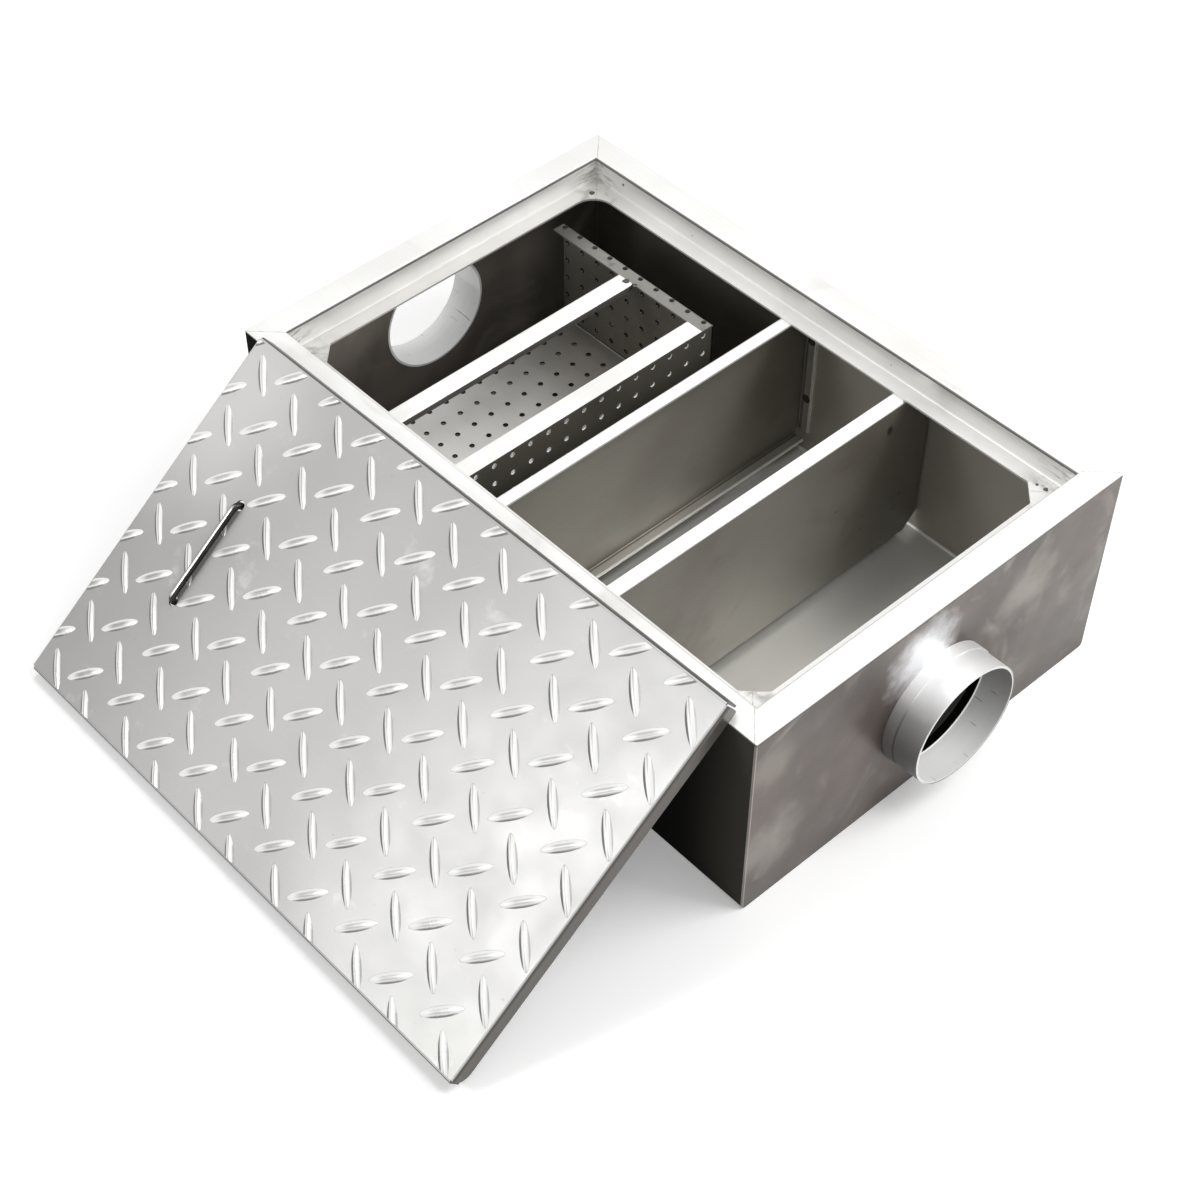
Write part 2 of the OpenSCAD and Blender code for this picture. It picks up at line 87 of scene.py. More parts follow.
LYING_ACROSS = tuple(LID_POSE @ Vector((1, -1, 0)).normalized())


# Materials


def tone(red, green, blue):
    """A colour written 0 to 255 as it shows on screen, made linear for a shader."""
    shown = np.array([red, green, blue]) / 255
    linear = np.where(shown <= 0.04045, shown / 12.92, ((shown + 0.055) / 1.055) ** 2.4)
    return (*linear.tolist(), 1.0)


class Finish:
    """A material being built: its node tree, its shader and its Object coordinates."""

    def __init__(self, name, metallic, roughness, specular=0.5):
        self.material = bpy.data.materials.new(name)
        self.material.use_nodes = True
        self.tree = self.material.node_tree
        self.shader = self.tree.nodes["Principled BSDF"]
        self.shader.inputs["Metallic"].default_value = metallic
        self.shader.inputs["Roughness"].default_value = roughness
        self.shader.inputs["Specular IOR Level"].default_value = specular
        self.place = self.add("ShaderNodeTexCoord").outputs["Object"]

    def add(self, kind, **settings):
        """A new node of this kind with the given settings."""
        made = self.tree.nodes.new(kind)
        for key, value in settings.items():
            setattr(made, key, value)
        return made

    def feed(self, socket, value):
        """Puts a number, a colour or another node's output into a socket."""
        if isinstance(value, bpy.types.NodeSocket):
            self.tree.links.new(value, socket)
        else:
            socket.default_value = value

    def calc(self, operation, first, second=0.0, third=0.0):
        """One Math node."""
        made = self.add("ShaderNodeMath", operation=operation)
        for socket, value in zip(made.inputs, (first, second, third)):
            self.feed(socket, value)
        return made.outputs[0]

    def axis(self, name, place=None):
        """One coordinate of a place, X, Y or Z."""
        made = self.add("ShaderNodeSeparateXYZ")
        self.feed(made.inputs[0], place or self.place)
        return made.outputs[name]

    def along(self, direction, start):
        """Distance from a start along a direction of length 1."""
        off = self.add("ShaderNodeVectorMath", operation="SUBTRACT")
        self.feed(off.inputs[0], self.place)
        off.inputs[1].default_value = start
        made = self.add("ShaderNodeVectorMath", operation="DOT_PRODUCT")
        self.feed(made.inputs[0], off.outputs[0])
        made.inputs[1].default_value = direction
        return made.outputs["Value"]

    def band(self, value, low, high, soft):
        """1 between low and high, fading to 0 over a soft margin outside them."""
        rise = self.spread(value, low - soft, low)
        fall = self.spread(value, high, high + soft, 1.0, 0.0)
        return self.calc("MULTIPLY", rise, fall)

    def moved(self, shift=(0, 0, 0), turn=(0, 0, 0), scale=(1, 1, 1)):
        """Object coordinates shifted, turned and scaled for one pattern."""
        made = self.add("ShaderNodeMapping")
        self.feed(made.inputs["Vector"], self.place)
        made.inputs["Location"].default_value = shift
        made.inputs["Rotation"].default_value = turn
        made.inputs["Scale"].default_value = scale
        return made.outputs[0]

    def noise(self, per_metre, detail=3.0, rough=0.55, bend=0.0, place=None):
        """Noise from 0 to 1 with this many lumps to the metre."""
        made = self.add("ShaderNodeTexNoise")
        self.feed(made.inputs["Vector"], place or self.place)
        made.inputs["Scale"].default_value = per_metre
        made.inputs["Detail"].default_value = detail
        made.inputs["Roughness"].default_value = rough
        made.inputs["Distortion"].default_value = bend
        return made.outputs["Fac"]

    def spread(self, value, low, high, to_low=0.0, to_high=1.0, soft=True):
        """Maps low to high onto to_low to to_high, held at the ends."""
        made = self.add("ShaderNodeMapRange", clamp=True)
        if soft:
            made.interpolation_type = "SMOOTHSTEP"
        for socket, given in zip(made.inputs, (value, low, high, to_low, to_high)):
            self.feed(socket, given)
        return made.outputs[0]

    def blend(self, share, first, second, kind="MIX"):
        """Two colours mixed by a share from 0 to 1."""
        made = self.add("ShaderNodeMix", data_type="RGBA", blend_type=kind)
        self.feed(made.inputs["Factor"], share)
        self.feed(made.inputs["A"], first)
        self.feed(made.inputs["B"], second)
        return made.outputs["Result"]

    def relief(self, height, depth, strength):
        """Bump of this depth in metres and this strength, from a height of 0 to 1."""
        made = self.add("ShaderNodeBump")
        made.inputs["Strength"].default_value = strength
        made.inputs["Distance"].default_value = depth
        self.feed(made.inputs["Height"], height)
        self.feed(self.shader.inputs["Normal"], made.outputs[0])

    def spot(self, place, inner, outer, stretch=(1, 1, 1), ragged=0.0, lumps=40.0):
        """1 within inner of a place, fading to 0 at outer. Stretch scales the distance along
        each axis, 0 for a tube along it. Ragged lets the edge wander by a noise of lumps."""
        shift = tuple(-along * by for along, by in zip(place, stretch))
        far = self.add("ShaderNodeVectorMath", operation="LENGTH")
        self.feed(far.inputs[0], self.moved(shift=shift, scale=stretch))
        reach = far.outputs["Value"]
        if ragged:
            wander = self.spread(self.noise(lumps), 0.2, 0.8, -ragged, ragged, soft=False)
            reach = self.calc("ADD", reach, wander)
        return self.spread(reach, inner, outer, 1.0, 0.0)

    def facing(self, direction):
        """How far the surface faces a direction of length 1, from -1 to 1."""
        made = self.add("ShaderNodeVectorMath", operation="DOT_PRODUCT")
        self.feed(made.inputs[0], self.add("ShaderNodeTexCoord").outputs["Normal"])
        made.inputs[1].default_value = direction
        return made.outputs["Value"]

    def edge_on(self, direction):
        """1 where the surface stands edge on to a direction, 0 where it faces along it."""
        return self.spread(self.calc("ABSOLUTE", self.facing(direction)), 0.4, 0.7, 1.0, 0.0)

    def tint(self, share, colour, most=1.0):
        """Lays a colour over the base by a share from 0 to 1, times most."""
        if most != 1.0:
            share = self.calc("MULTIPLY", share, most)
        self.base = self.blend(share, self.base, colour)

    def both(self, first, second):
        """The share where two shares meet."""
        return self.calc("MULTIPLY", first, second)

    def done(self):
        """Gives the finished base colour to the shader."""
        self.feed(self.shader.inputs["Base Color"], self.base)
        return self.material

    def polish(self, value):
        """Sets the roughness."""
        self.feed(self.shader.inputs["Roughness"], value)


def mill_grain(finish, along, fine=900.0, long=14.0):
    """Fine rolling lines: noise drawn out along one axis of the sheet."""
    scale = [fine, fine, fine]
    scale["XYZ".index(along)] = long
    return finish.noise(1.0, detail=2.0, place=finish.moved(scale=scale))


SPECKS_PER_METRE = 420.0
SPECK_SHADE = 0.80
GRAIN_RELIEF = 0.00002


def sheet_finish(
    name, pale, dull, metallic, roughness, along, cloud=5.0, grain=0.03, specular=0.5
):
    """Rolled sheet: slow clouds of a duller tone, rolling lines and faint specks."""
    finish = Finish(name, metallic, roughness, specular)
    clouds = finish.noise(cloud, detail=2.5, rough=0.5, bend=0.3)
    base = finish.blend(finish.spread(clouds, 0.38, 0.66), pale, dull)
    lines = mill_grain(finish, along)
    shade = finish.spread(lines, 0.3, 0.7, 1 - grain, 1 + grain, soft=False)
    dots = finish.noise(SPECKS_PER_METRE, detail=1.0)
    specks = finish.spread(dots, 0.76, 0.82, 1.0, SPECK_SHADE)
    finish.base = finish.blend(1.0, base, finish.both(shade, specks), "MULTIPLY")
    wear = finish.noise(cloud * 5, detail=3.0)
    finish.polish(
        finish.spread(wear, 0.3, 0.7, roughness - 0.04, roughness + 0.06, soft=False)
    )
    finish.relief(finish.calc("ADD", lines, dots), GRAIN_RELIEF, 0.5)
    return finish


def stain(finish, colour, per_metre, low, high, most=1.0, bend=1.2):
    """Lays blotches of a colour over the base."""
    blotches = finish.noise(per_metre, detail=3.0, rough=0.55, bend=bend)
    finish.tint(finish.spread(blotches, low, high), colour, most)


# Small dark pits on the frame: place and radius in mm
FLANGE_DOTS = (
    ((-238.8, -175.6, 200.0), 1.6),
    ((-238.7, 175.0, 189.8), 1.8),
    ((-150.0, 175.0, 184.0), 1.0),
    ((84.0, 175.0, 186.0), 1.1),
)


def frame_steel():
    """Flange, recess and ledge: near-white steel, smudged by grinding at the mitred corners."""
    finish = sheet_finish(
        "frame_steel", tone(244, 244, 242), tone(232, 231, 228), 0.35, 0.34, "X"
    )
    height = finish.axis("Z")
    stain(finish, tone(206, 205, 201), 9.0, 0.55, 0.84)
    recess_wall = finish.band(height, LEDGE_TOP + 3 * MM, TANK_TOP - 2 * MM, 1 * MM)
    finish.tint(recess_wall, tone(196, 194, 190), 0.2)
    # Painted shade: a dark line along the fold under the flange.
    fold_shade_line = finish.band(height, TANK_TOP - 3.0 * MM, TANK_TOP - 1.0 * MM, 0.4 * MM)
    finish.tint(fold_shade_line, tone(74, 71, 66), 0.85)
    ledge = finish.spread(height, LEDGE_TOP, LEDGE_TOP + 1 * MM, 1.0, 0.0)
    finish.tint(ledge, tone(212, 210, 206), 0.4)
    dull_from, dull_to = 40 * MM - TANK_HALF_L, -0.6 * TANK_HALF_L
    inlet_end = finish.spread(finish.axis("X"), dull_from, dull_to, 1.0, 0.0)
    finish.tint(finish.both(ledge, inlet_end), tone(192, 190, 186), 0.75)
    along = finish.calc("ABSOLUTE", finish.axis("X"))
    across = finish.calc("ABSOLUTE", finish.axis("Y"))
    lead = TANK_HALF_L - TANK_HALF_W
    past_mitre = finish.calc("SUBTRACT", finish.calc("SUBTRACT", along, across), lead)
    off_mitre = finish.calc("ABSOLUTE", past_mitre)
    below = finish.spread(height, TANK_TOP - 2 * MM, TANK_TOP - 1 * MM, 1.0, 0.0)
    ground = finish.both(below, finish.spread(off_mitre, 2 * MM, 42 * MM, 1.0, 0.0))
    streaks = finish.noise(1.0, detail=3.0, bend=0.4, place=finish.moved(scale=(70, 70, 300)))
    finish.tint(finish.both(ground, finish.spread(streaks, 0.46, 0.68)), tone(128, 125, 120), 0.7)
    wander = finish.noise(160.0, detail=2.0)
    line = finish.spread(off_mitre, 0.2 * MM, 0.7 * MM, 1.0, 0.0)
    faint = finish.both(line, finish.spread(wander, 0.35, 0.65, 0.15, 0.6))
    finish.tint(faint, tone(112, 108, 102))
    for place, radius in FLANGE_DOTS:
        here = tuple(part * MM for part in place)
        dot = finish.spot(here, 0.5 * radius * MM, radius * MM, ragged=0.5 * MM, lumps=300.0)
        finish.tint(dot, tone(58, 54, 50), 0.85)
    return finish.done()


def strip_steel():
    """Carry bar and basket rim: bright on top, their turned-down sides darkened by painted shade.
    """
    finish = sheet_finish(
        "strip_steel", tone(246, 246, 244), tone(234, 233, 230), 0.35, 0.32, "Y", 9.0
    )
    # Painted shade on every side that does not face up.
    side = finish.spread(finish.facing((0, 0, 1)), 0.25, 0.8, 1.0, 0.0)
    finish.tint(side, tone(70, 67, 61), 0.9)
    return finish.done()


# Blotches on the outlet wall: y and z, inner and outer radius in mm, colour, most
WALL_CLOUDS = (
    ((-128, 115), (8, 62), tone(92, 82, 76), 0.65),
    ((-178, 66), (6, 48), tone(168, 161, 154), 0.5),
    ((-182, 160), (5, 34), tone(158, 149, 141), 0.4),
    ((100, 140), (6, 44), tone(172, 163, 155), 0.55),
    ((168, 150), (4, 36), tone(96, 86, 80), 0.5),
    ((60, 90), (4, 40), tone(88, 78, 72), 0.5),
)


def outlet_wall_steel():
    """The outlet end: brown-grey blotchy steel, with a painted highlight over the stub."""
    finish = sheet_finish(
        "outlet_wall_steel", tone(108, 102, 96), tone(88, 82, 77), 0.5, 0.36, "Y", 6.0, 0.04
    )
    stain(finish, tone(96, 84, 78), 9.0, 0.46, 0.74, 0.8)
    stain(finish, tone(166, 158, 150), 12.0, 0.54, 0.80, 0.7)
    stain(finish, tone(122, 104, 98), 5.0, 0.52, 0.70, 0.3)
    wall = TANK_HALF_L
    for (y, z), (inner, outer), colour, most in WALL_CLOUDS:
        here = (wall, y * MM, z * MM)
        cloud = finish.spot(here, inner * MM, outer * MM, ragged=16 * MM, lumps=26.0)
        finish.tint(cloud, colour, most)
    low = finish.spread(finish.axis("Z"), 0.0, 46 * MM, 0.55, 0.0)
    finish.tint(low, tone(72, 64, 58))
    # Painted highlight: a pale line down the corner with the front.
    corner = finish.band(finish.axis("Y"), -TANK_HALF_W, 1.0 * MM - TANK_HALF_W, 0.6 * MM)
    finish.tint(corner, tone(186, 180, 174), 0.45)
    joint = finish.spread(finish.axis("Z"), TANK_TOP - 3.5 * MM, TANK_TOP - 2.2 * MM, 0.0, 0.8)
    finish.tint(joint, tone(52, 48, 44))
    root = (wall, 0, OUTLET_AXIS_Z)
    halo = finish.spot(root, PIPE_R + 3 * MM, PIPE_R + 20 * MM, ragged=6 * MM, lumps=38.0)
    finish.tint(halo, tone(80, 68, 62), 0.7)
    # Painted highlight: a pale patch on the wall over the stub, whitest at its core.
    glow = finish.spot((wall, -0.020, 0.156), 12 * MM, 46 * MM, ragged=9 * MM, lumps=60.0)
    finish.tint(glow, tone(236, 237, 239), 0.9)
    highlight_core = finish.spot((wall, -0.006, 0.144), 4 * MM, 20 * MM, ragged=6 * MM, lumps=110.0)
    finish.tint(highlight_core, tone(252, 252, 254), 0.9)
    # Painted shadow: a dark ring where the collar meets the wall, on its lower side only.
    contact_shadow = finish.spot(root, COLLAR_R, COLLAR_R + 1.6 * MM)
    lower = finish.spread(finish.along((0, -0.8, -0.6), root), -0.2 * PIPE_R, 0.5 * PIPE_R)
    finish.tint(finish.both(contact_shadow, lower), tone(40, 36, 33), 0.9)
    return finish.done()


def tank_steel():
    """Tank sheet: grey chambers, darker at the inlet by painted shade, a lighter floor with painted
    light between the baffles, and brown-grey smeared faces outside; the front under the lid is
    painted near black as shade."""
    finish = sheet_finish(
        "tank_steel", tone(182, 178, 170), tone(156, 151, 142), 0.45, 0.36, "X", specular=0.15
    )
    stain(finish, tone(126, 120, 110), 7.0, 0.55, 0.85)
    reach = finish.axis("X")
    across = finish.axis("Y")
    height = finish.axis("Z")
    inner_y = TANK_HALF_W - 1.2 * MM
    inner_x = TANK_HALF_L - 1.2 * MM
    off_y = finish.calc("ABSOLUTE", across)
    off_x = finish.calc("ABSOLUTE", reach)
    within_y = finish.spread(off_y, inner_y, inner_y + 0.4 * MM, 1.0, 0.0)
    within_x = finish.spread(off_x, inner_x, inner_x + 0.4 * MM, 1.0, 0.0)
    above_floor = finish.spread(height, 0.8 * MM, 1.2 * MM)
    inside = finish.both(above_floor, finish.both(within_y, within_x))
    outside = finish.calc("SUBTRACT", 1.0, inside)
    # Painted shade: the inlet chamber darkened.
    inlet_side = finish.spread(reach, FIRST_BAFFLE_X, FIRST_BAFFLE_X - 30 * MM, 0.0, 0.75)
    finish.tint(finish.both(inlet_side, inside), tone(80, 76, 68))
    # Painted light: a paler patch on the inlet wall beside the bore.
    end_wall = finish.spread(reach, 8 * MM - TANK_HALF_L, 2 * MM - TANK_HALF_L)
    beside_bore = (-TANK_HALF_L, -85 * MM, 70 * MM)
    painted_light_near_bore = finish.spot(beside_bore, 16 * MM, 90 * MM, ragged=12 * MM, lumps=24.0)
    finish.tint(finish.both(end_wall, painted_light_near_bore), tone(150, 147, 138), 0.85)
    ahead = finish.spread(reach, FIRST_BAFFLE_X, FIRST_BAFFLE_X + 10 * MM)
    past_baffle = finish.both(ahead, inside)
    back = finish.spread(across, TANK_HALF_W - 5 * MM, TANK_HALF_W - 2 * MM)
    finish.tint(finish.both(back, past_baffle), tone(176, 172, 163))
    floor = finish.spread(height, 2.2 * MM, 5 * MM, 1.0, 0.0)
    outlet_floor = finish.both(floor, past_baffle)
    finish.tint(outlet_floor, tone(212, 211, 206))
    # Painted light: the floor between the two baffles made near white.
    middle = finish.spread(reach, SECOND_BAFFLE_X + 4 * MM, SECOND_BAFFLE_X - 2 * MM)
    finish.tint(finish.both(outlet_floor, middle), tone(252, 252, 248))
    # Painted highlight: a pale line along the floor's folds past the first baffle.
    fold = finish.band(height, 2.4 * MM, 3.8 * MM, 0.5 * MM)
    finish.tint(finish.both(fold, past_baffle), tone(252, 252, 249))
    # Painted shade: the floor under the outlet ledge near black.
    shade_under_ledge = finish.spread(reach, 250 * MM, 272 * MM, 0.0, 0.95)
    finish.tint(finish.both(shade_under_ledge, floor), tone(14, 13, 12))
    finish.tint(outside, tone(120, 114, 107))
    smears = finish.noise(7.0, detail=3.0, bend=1.2)
    finish.tint(finish.both(outside, finish.spread(smears, 0.5, 0.78)), tone(94, 88, 82), 0.8)
    wisps = finish.noise(11.0, detail=3.0, bend=1.2, place=finish.moved(shift=(0.3, 0.2, 0.1)))
    finish.tint(finish.both(outside, finish.spread(wisps, 0.54, 0.8)), tone(166, 158, 150), 0.6)
    foot = finish.spread(height, 0.0, 46 * MM, 0.5, 0.0)
    finish.tint(finish.both(outside, foot), tone(76, 70, 64))
    # Painted shade: the front face under the lid near black.
    front = finish.spread(across, -TANK_HALF_W, 0.5 * MM - TANK_HALF_W, 1.0, 0.0)
    finish.tint(front, tone(10, 9, 8))
    # Painted reflection: a dull sheen on the front towards the outlet corner.
    painted_sheen = finish.spread(reach, 225 * MM, TANK_HALF_L)
    finish.tint(finish.both(front, painted_sheen), tone(66, 64, 58))
    finish.polish(finish.spread(front, 0.0, 1.0, 0.38, 0.95, soft=False))
    return finish.done()


# Scratches on the second baffle: y and z in mm, thickness and length as shares of a dot
BAFFLE_SCRATCHES = (
    ((169.2, 63.9), (0.35, 1.6)),
    ((123.0, 67.5), (0.3, 1.4)),
    ((162.7, 49.4), (0.35, 2.0)),
    ((122.9, 51.9), (0.3, 1.8)),
    ((88.0, 96.0), (0.3, 2.4)),
)

# Painted highlights and shadow on the first baffle's folded edges: from, to and softness in mm,
# colour, most
PAINTED_LIP_BANDS = (
    (4.5, 15.0, 1.0, tone(196, 193, 186), 0.6),
    (11.8, 15.0, 0.5, tone(250, 250, 247), 1.0),
    (3.0, 4.6, 0.6, tone(92, 88, 80), 0.6),
)


def baffle_steel():
    """Baffles: grey, painted shade towards the back wall, painted highlights on the folded edges.
    """
    finish = sheet_finish("baffle_steel", tone(167, 163, 154), tone(145, 140, 131), 0.45, 0.34, "Y")
    stain(finish, tone(128, 121, 111), 7.0, 0.52, 0.85)
    reach = finish.axis("X")
    # Painted shade: darker towards the back wall.
    back = finish.spread(finish.axis("Y"), -60 * MM, TANK_HALF_W, 0.0, 0.6)
    finish.tint(back, tone(94, 89, 80))
    # Painted highlights on the lip and a painted shadow line beside it.
    for low, high, soft, colour, most in PAINTED_LIP_BANDS:
        lip = finish.band(
            reach, FIRST_BAFFLE_X + low * MM, FIRST_BAFFLE_X + high * MM, soft * MM
        )
        finish.tint(lip, colour, most)
    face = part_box("second_baffle")[1].x
    tear_place = (face, 145.4 * MM, 152.1 * MM)
    tear = finish.spot(tear_place, 1.5 * MM, 4.2 * MM, (1, 1, 0.6), 0.8 * MM, 200.0)
    finish.tint(tear, tone(24, 22, 19), 0.9)
    for (y, z), (thick, long) in BAFFLE_SCRATCHES:
        here = (face, y * MM, z * MM)
        scratch = finish.spot(here, 0.5 * MM, 2.2 * MM, (1, 1 / long, 1 / thick), 0.3 * MM, 400.0)
        finish.tint(scratch, tone(44, 41, 36), 0.75)
    top = finish.spread(finish.axis("Z"), LEDGE_TOP - 4.5 * MM, LEDGE_TOP - 3.5 * MM)
    finish.tint(top, tone(248, 248, 246))
    return finish.done()


def basket_steel():
    """Perforated sheet: dark walls, a floor that pales to the front by painted light, a worn grey
    rim darkened towards its inlet end by painted shade. The sides of the holes are painted black
    as shade in the floor and back wall, and painted white as light in the end wall."""
    finish = sheet_finish(
        "basket_steel", tone(112, 108, 99), tone(94, 90, 82), 0.45, 0.36, "X", 8.0
    )
    reach = finish.axis("X")
    across = finish.axis("Y")
    height = finish.axis("Z")
    bottom = finish.spread(height, BASKET_LOW.z + 2 * MM, BASKET_LOW.z + 6 * MM, 1.0, 0.0)
    finish.tint(bottom, tone(136, 132, 125))
    # Painted light: the floor pales towards the front.
    front = finish.spread(across, 110 * MM, BASKET_LOW.y + 60 * MM)
    finish.tint(finish.both(bottom, front), tone(252, 251, 248), 0.9)
    fold = finish.band(height, BASKET_LOW.z + 2.6 * MM, BASKET_LOW.z + 4.2 * MM, 0.6 * MM)
    finish.tint(fold, tone(48, 45, 40), 0.7)
    # Painted shade: the sides of the holes in the back wall black.
    wall = finish.spread(height, BASKET_LOW.z + 6 * MM, BASKET_LOW.z + 7 * MM)
    in_back = finish.spread(across, BASKET_HIGH.y - 1.7 * MM, BASKET_HIGH.y - 1.6 * MM)
    shaded_back_holes = finish.both(wall, finish.both(finish.edge_on((0, 1, 0)), in_back))
    finish.tint(shaded_back_holes, tone(6, 6, 5))
    # Painted shade: the sides of the holes in the floor black.
    in_floor = finish.spread(
        height, BASKET_LOW.z + 1.4 * MM, BASKET_LOW.z + 1.5 * MM, 1.0, 0.0
    )
    finish.tint(finish.both(finish.edge_on((0, 0, 1)), in_floor), tone(10, 10, 9))
    # Painted light: the sides of the holes in the end wall white.
    in_end = finish.spread(reach, BASKET_HIGH.x - 3.6 * MM, BASKET_HIGH.x - 3.4 * MM)
    lit_end_holes = finish.both(wall, finish.both(finish.edge_on((1, 0, 0)), in_end))
    finish.tint(lit_end_holes, tone(255, 255, 253))
    rim = finish.spread(height, LEDGE_TOP - 4 * MM, LEDGE_TOP - 3.4 * MM)
    finish.tint(rim, tone(140, 138, 132))
    # Painted shade: the rim darkens towards its inlet end.
    far = finish.spread(reach, -180 * MM, BASKET_LOW.x, 0.0, 0.85)
    finish.tint(finish.both(rim, far), tone(40, 38, 34))
    worn = finish.spread(finish.noise(60.0, detail=3.0), 0.52, 0.72)
    finish.tint(finish.both(worn, rim), tone(84, 80, 74), 0.6)
    return finish.done()


STUB_METALLIC = 0.25
LOW_FRONT = (0, -0.74, -0.67)
LOW_BACK = (0, 0.6, -0.8)
HIGH_BACK = (0, 0.6, 0.8)


def stub_steel():
    """Turned tube: pale satin with fine rings, painted shade on its lower side and on its inner
    face towards the top, a painted highlight near its root. Past the bore's rim the outlet is
    painted black as shade, as a deep bore looks, and the rim is a painted white highlight line."""
    finish = sheet_finish(
        "stub_steel",
        tone(232, 232, 232),
        tone(220, 220, 219),
        STUB_METALLIC,
        0.36,
        "Z",
        cloud=6.0,
        grain=0.01,
    )
    rings = finish.noise(1.0, detail=2.0, place=finish.moved(scale=(1800, 8, 8)))
    ring_shade = finish.spread(rings, 0.3, 0.7, 0.97, 1.03, soft=False)
    finish.base = finish.blend(1.0, finish.base, ring_shade, "MULTIPLY")
    reach = finish.axis("X")
    axis = (0, 0, OUTLET_AXIS_Z)
    flat = finish.spot(axis, PIPE_R - 1.0 * MM, PIPE_R - 0.4 * MM, (0, 1, 1))
    outside = finish.calc("SUBTRACT", 1.0, flat)
    outer = finish.spread(reach, 0.0, TANK_HALF_L)
    # Painted shade on the tube's lower front side.
    low = finish.spread(finish.along(LOW_FRONT, axis), -22 * MM, 48 * MM)
    finish.tint(finish.both(low, finish.both(outer, outside)), tone(66, 63, 60), 0.88)
    # Painted shade on the upper part of the outlet bore.
    inner_shade = finish.spread(finish.along(HIGH_BACK, axis), -40 * MM, 50 * MM)
    upper_bore = finish.both(flat, inner_shade)
    finish.tint(finish.both(upper_bore, outer), tone(70, 68, 65), 0.8)
    streaks = finish.noise(1.0, detail=2.0, place=finish.moved(scale=(40, 420, 420)))
    finish.tint(finish.both(flat, finish.spread(streaks, 0.66, 0.74)), tone(70, 66, 62), 0.6)
    # Painted shade: a dark band round the mouth on its lower back side.
    mouth = finish.band(reach, STUB_MOUTH - 1.6 * MM, STUB_MOUTH - 0.4 * MM, 0.2 * MM)
    away = finish.spread(finish.along(LOW_BACK, axis), -10 * MM, 30 * MM)
    finish.tint(finish.both(mouth, finish.both(away, outside)), tone(60, 58, 56), 0.9)
    # Painted highlight on the mouth's end face, with a painted dark outline on its lower back side.
    lit_edge = finish.spread(reach, STUB_MOUTH - 0.4 * MM, STUB_MOUTH - 0.2 * MM)
    finish.tint(lit_edge, tone(232, 232, 231))
    within = finish.spot(axis, PIPE_R - 1.2 * MM, PIPE_R - 0.8 * MM, (0, 1, 1))
    outline = finish.both(away, finish.calc("SUBTRACT", 1.0, within))
    finish.tint(finish.both(lit_edge, outline), tone(56, 54, 51), 0.9)
    # The collar seam, a real joint, shown only on the lower side, as painted shade.
    seam = finish.band(reach, COLLAR_END - 0.2 * MM, COLLAR_END + 0.8 * MM, 0.3 * MM)
    finish.tint(finish.both(seam, finish.both(low, outside)), tone(70, 66, 62), 0.7)
    # Painted shade: past the bore's rim the outlet is black and fully metallic, so it shows
    # nothing.
    beyond = finish.spread(reach, STUB_ROOT + BORE_RIM, STUB_ROOT + BORE_RIM + 0.3 * MM, 1.0, 0.0)
    outlet_bore = finish.both(outer, flat)
    unlit = finish.both(beyond, outlet_bore)
    finish.tint(unlit, tone(8, 8, 7))
    metallic = finish.spread(unlit, 0.0, 1.0, STUB_METALLIC, 1.0, soft=False)
    finish.feed(finish.shader.inputs["Metallic"], metallic)
    # Painted highlight: a white line at the bore's rim.
    rim_highlight = finish.band(reach, STUB_ROOT + BORE_RIM, STUB_ROOT + BORE_RIM + 1.1 * MM, 0.3 * MM)
    finish.tint(finish.both(rim_highlight, outlet_bore), tone(254, 254, 254))
    # Painted highlight on the top of the tube near its root.
    crown = finish.spot((TANK_HALF_L + 8 * MM, -12 * MM, 142 * MM), 16 * MM, 48 * MM, ragged=4 * MM)
    finish.tint(finish.both(crown, finish.both(outer, outside)), tone(255, 255, 255))
    finish.polish(finish.spread(flat, 0.0, 1.0, 0.42, 0.7, soft=False))
    return finish.done()


